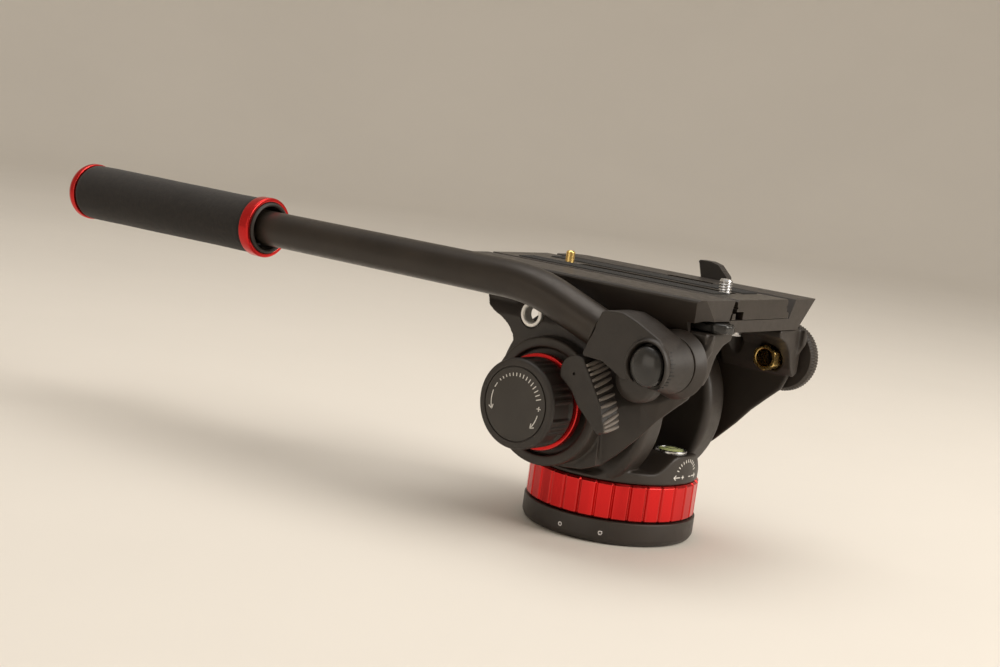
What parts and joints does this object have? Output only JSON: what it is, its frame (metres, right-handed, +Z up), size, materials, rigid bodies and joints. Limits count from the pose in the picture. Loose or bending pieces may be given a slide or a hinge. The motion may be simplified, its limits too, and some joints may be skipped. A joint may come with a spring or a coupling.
{
  "type": "fluid video head",
  "caption": "Video fluid head on a flat base: ribbed red pan drag ring, two-arm tilting platform with a sliding camera plate, side drag knob, lock lever and a bent pan bar with a foam grip.",
  "frame": {"origin": "on the pan axis in the base's bottom face", "axes": "+X towards the lens (away from the grip), +Y to the head's left, +Z up along the pan axis"},
  "size_m": [0.41, 0.1403, 0.1317],
  "materials": {
    "bar_clamp": "satin",
    "base_disc": "satin",
    "camera_plate": "satin",
    "camera_screw": "satin",
    "clamp_bolt": "satin",
    "clamp_knob": "satin",
    "counterbalance_spring": "satin",
    "front_left_tray_screw": "satin",
    "front_right_tray_screw": "satin",
    "grip_collar": "satin",
    "grip_end_cap": "satin",
    "grip_foam": "matte",
    "grip_front_ring": "satin",
    "left_accessory_socket": "satin",
    "left_arm": "satin",
    "left_hub_cap": "satin",
    "left_plate_pad": "matte",
    "left_rosette": "satin",
    "left_rosette_nut": "satin",
    "left_rosette_plug": "satin",
    "level_cup": "satin",
    "level_vial": "gloss",
    "locating_pin": "satin",
    "pan_bar_tube": "satin",
    "pan_bearing": "satin",
    "pan_drag_cartridge": "satin",
    "pan_drag_ring": "satin",
    "pan_housing": "satin",
    "pan_lock_knob": "satin",
    "pan_lock_screw": "satin",
    "pan_nut": "satin",
    "pan_spindle": "satin",
    "plate_lock_lever": "satin",
    "plate_lock_screw": "satin",
    "plate_lock_shoe": "satin",
    "plate_release_lever": "satin",
    "platform_tray": "satin",
    "rear_left_tray_screw": "satin",
    "rear_right_tray_screw": "satin",
    "release_pin": "satin",
    "right_accessory_socket": "satin",
    "right_arm": "satin",
    "right_plate_pad": "matte",
    "right_rosette": "satin",
    "right_rosette_nut": "satin",
    "spring_drum": "satin",
    "thread_insert": "satin",
    "tilt_axle": "satin",
    "tilt_drag_cartridge": "satin",
    "tilt_drag_knob": "satin",
    "tilt_drag_ring": "satin",
    "tilt_knob_label": "satin",
    "tilt_lock_lever": "satin",
    "tilt_lock_screw": "satin"
  },
  "bodies": {
    "base": {"base_disc": "base_disc", "thread_insert": "thread_insert", "pan_spindle": "pan_spindle", "pan_nut": "pan_nut"},
    "pan": {"pan_housing": "pan_housing", "pan_bearing": "pan_bearing", "pan_drag_cartridge": "pan_drag_cartridge", "level_cup": "level_cup", "level_vial": "level_vial", "tilt_axle": "tilt_axle", "tilt_drag_cartridge": "tilt_drag_cartridge", "spring_drum": "spring_drum", "counterbalance_spring": "counterbalance_spring"},
    "pan_drag": {"pan_drag_ring": "pan_drag_ring"},
    "pan_lock": {"pan_lock_knob": "pan_lock_knob", "pan_lock_screw": "pan_lock_screw"},
    "platform": {"platform_tray": "platform_tray", "right_arm": "right_arm", "left_arm": "left_arm", "rear_right_tray_screw": "rear_right_tray_screw", "rear_left_tray_screw": "rear_left_tray_screw", "front_right_tray_screw": "front_right_tray_screw", "front_left_tray_screw": "front_left_tray_screw", "right_accessory_socket": "right_accessory_socket", "left_accessory_socket": "left_accessory_socket", "right_rosette": "right_rosette", "left_rosette": "left_rosette", "left_rosette_plug": "left_rosette_plug", "right_rosette_nut": "right_rosette_nut", "left_rosette_nut": "left_rosette_nut", "left_hub_cap": "left_hub_cap", "release_pin": "release_pin"},
    "tilt_drag": {"tilt_drag_knob": "tilt_drag_knob", "tilt_drag_ring": "tilt_drag_ring", "tilt_knob_label": "tilt_knob_label"},
    "tilt_lock": {"tilt_lock_lever": "tilt_lock_lever", "tilt_lock_screw": "tilt_lock_screw"},
    "plate_lock": {"plate_lock_lever": "plate_lock_lever", "plate_lock_screw": "plate_lock_screw"},
    "lock_shoe": {"plate_lock_shoe": "plate_lock_shoe"},
    "release": {"plate_release_lever": "plate_release_lever"},
    "plate": {"camera_plate": "camera_plate", "right_plate_pad": "right_plate_pad", "left_plate_pad": "left_plate_pad"},
    "screw": {"camera_screw": "camera_screw"},
    "pin": {"locating_pin": "locating_pin"},
    "pan_bar": {"bar_clamp": "bar_clamp", "pan_bar_tube": "pan_bar_tube", "grip_foam": "grip_foam", "grip_end_cap": "grip_end_cap", "grip_front_ring": "grip_front_ring", "grip_collar": "grip_collar"},
    "bar_knob": {"clamp_knob": "clamp_knob", "clamp_bolt": "clamp_bolt"}
  },
  "joints": [
    {"name": "pan_turn", "type": "hinge", "parent": "base", "child": "pan", "pos_m": [0, 0, 0.0295], "axis": [0, 0, 1], "continuous": true},
    {"name": "pan_drag_turn", "type": "hinge", "parent": "pan", "child": "pan_drag", "pos_m": [0, 0, 0.0115], "axis": [0, 0, 1], "range_deg": [-90, 90]},
    {"name": "pan_lock_turn", "type": "hinge", "parent": "pan", "child": "pan_lock", "pos_m": [-0.0406, 0, 0.037], "axis": [1, 0, 0], "range_deg": [-60, 60]},
    {"name": "tilt", "type": "hinge", "parent": "pan", "child": "platform", "pos_m": [-0.008, 0, 0.0626], "axis": [0, 1, 0], "range_deg": [-85, 70]},
    {"name": "tilt_drag_turn", "type": "hinge", "parent": "platform", "child": "tilt_drag", "pos_m": [-0.008, -0.06, 0.0626], "axis": [0, 1, 0], "range_deg": [-135, 135]},
    {"name": "tilt_lock_turn", "type": "hinge", "parent": "platform", "child": "tilt_lock", "pos_m": [0.0174, -0.06, 0.0814], "axis": [0, 1, 0], "range_deg": [0, 32]},
    {"name": "plate_lock_turn", "type": "hinge", "parent": "platform", "child": "plate_lock", "pos_m": [0.008, 0.058, 0.1182], "axis": [0, 1, 0], "range_deg": [-35, 75]},
    {"name": "shoe_travel", "type": "slide", "parent": "platform", "child": "lock_shoe", "axis": [0, 1, 0], "range_m": [-0.0003, 0.00065]},
    {"name": "release_turn", "type": "hinge", "parent": "platform", "child": "release", "pos_m": [0.05, -0.036, 0.11], "axis": [0, 0, 1], "range_deg": [-14, 3], "stiffness_Nm_per_rad": 0.05},
    {"name": "plate_travel", "type": "slide", "parent": "platform", "child": "plate", "axis": [1, 0, 0], "range_m": [-0.045, 0.045]},
    {"name": "screw_travel", "type": "slide", "parent": "plate", "child": "screw", "axis": [1, 0, 0], "range_m": [-0.07, 0.001]},
    {"name": "pin_press", "type": "slide", "parent": "plate", "child": "pin", "axis": [0, 0, 1], "range_m": [-0.004, 0.0002], "stiffness_N_per_m": 300},
    {"name": "bar_turn", "type": "hinge", "parent": "platform", "child": "pan_bar", "pos_m": [0.0548, -0.064, 0.0922], "axis": [0, 1, 0], "range_deg": [-1, 110]},
    {"name": "bar_knob_turn", "type": "hinge", "parent": "pan_bar", "child": "bar_knob", "pos_m": [0.0548, -0.07, 0.0922], "axis": [0, 1, 0], "range_deg": [-150, 150]}
  ],
  "couplings": [
    {"joint": "plate_lock_turn", "follows": "shoe_travel", "rad_per_m": 2000}
  ]
}
